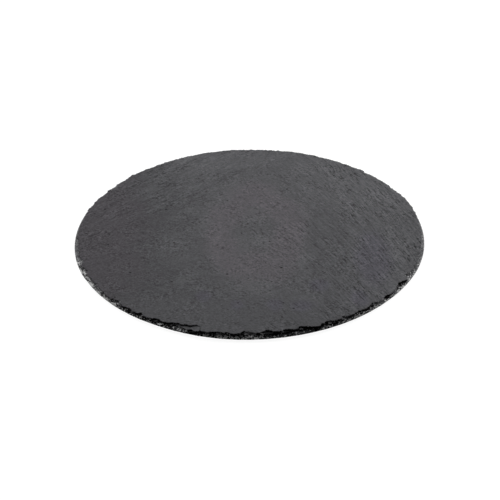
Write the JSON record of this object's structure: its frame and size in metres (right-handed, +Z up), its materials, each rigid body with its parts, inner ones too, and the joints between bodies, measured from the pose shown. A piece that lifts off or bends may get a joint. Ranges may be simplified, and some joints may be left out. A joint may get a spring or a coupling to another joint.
{
  "type": "serving board",
  "caption": "Round slate serving board with a hand-chipped bevelled edge, standing on small self-adhesive rubber feet.",
  "frame": {"origin": "centre of the board, on the surface that its feet stand on", "axes": "+Z up out of the serving face, -Y towards the front as pictured, +X to the right"},
  "size_m": [0.3, 0.3, 0.0071],
  "materials": {
    "slate": "riven natural slate, matt, with a chipped edge",
    "rubber": "black sheet rubber, die cut, matt",
    "adhesive_film": "thin double-sided adhesive film"
  },
  "bodies": {
    "root": {"slate_disc": "slate", "foot_front_left": "rubber", "foot_front_right": "rubber", "foot_back_right": "rubber", "foot_back_left": "rubber", "film_front_left": "adhesive_film", "film_front_right": "adhesive_film", "film_back_right": "adhesive_film", "film_back_left": "adhesive_film"}
  },
  "joints": []
}
